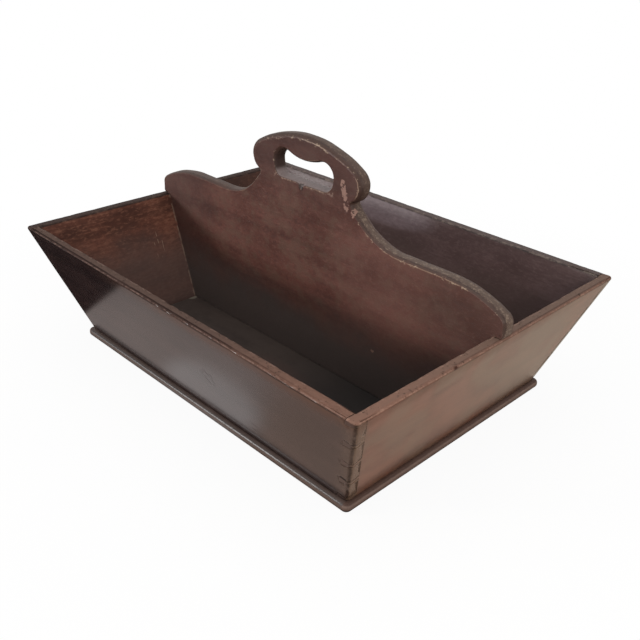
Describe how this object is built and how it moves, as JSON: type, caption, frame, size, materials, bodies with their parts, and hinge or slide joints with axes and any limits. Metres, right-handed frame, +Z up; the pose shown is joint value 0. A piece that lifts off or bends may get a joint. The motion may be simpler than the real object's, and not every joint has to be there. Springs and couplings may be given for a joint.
{
  "type": "knife box",
  "caption": "Open mahogany knife box: canted dovetailed walls on a rounded base board, with a shaped middle divider that rises into a pierced carrying handle.",
  "frame": {"origin": "middle of the base board's underside, on the surface that the box stands on", "axes": "+X along the long walls, +Y across the box from the front wall to the back wall, +Z up"},
  "size_m": [0.381, 0.2906, 0.1968],
  "materials": {
    "base_mahogany": "dark polished mahogany, worn brown on its rounded edge and dull with age inside",
    "long_wall_mahogany": "dark red-brown mahogany, French polished outside, worn along its arrises",
    "end_wall_mahogany": "warmer red-brown mahogany, softly polished, grain along the board",
    "divider_mahogany": "dark mahogany rubbed pale along its rounded edge, nearly black with grime low down",
    "brad_iron": "dark oxidised iron, cut from plate"
  },
  "bodies": {
    "root": {"base_board": "base_mahogany", "front_wall": "long_wall_mahogany", "back_wall": "long_wall_mahogany", "left_end_wall": "end_wall_mahogany", "right_end_wall": "end_wall_mahogany", "divider": "divider_mahogany", "base_brads": "brad_iron"}
  },
  "joints": []
}
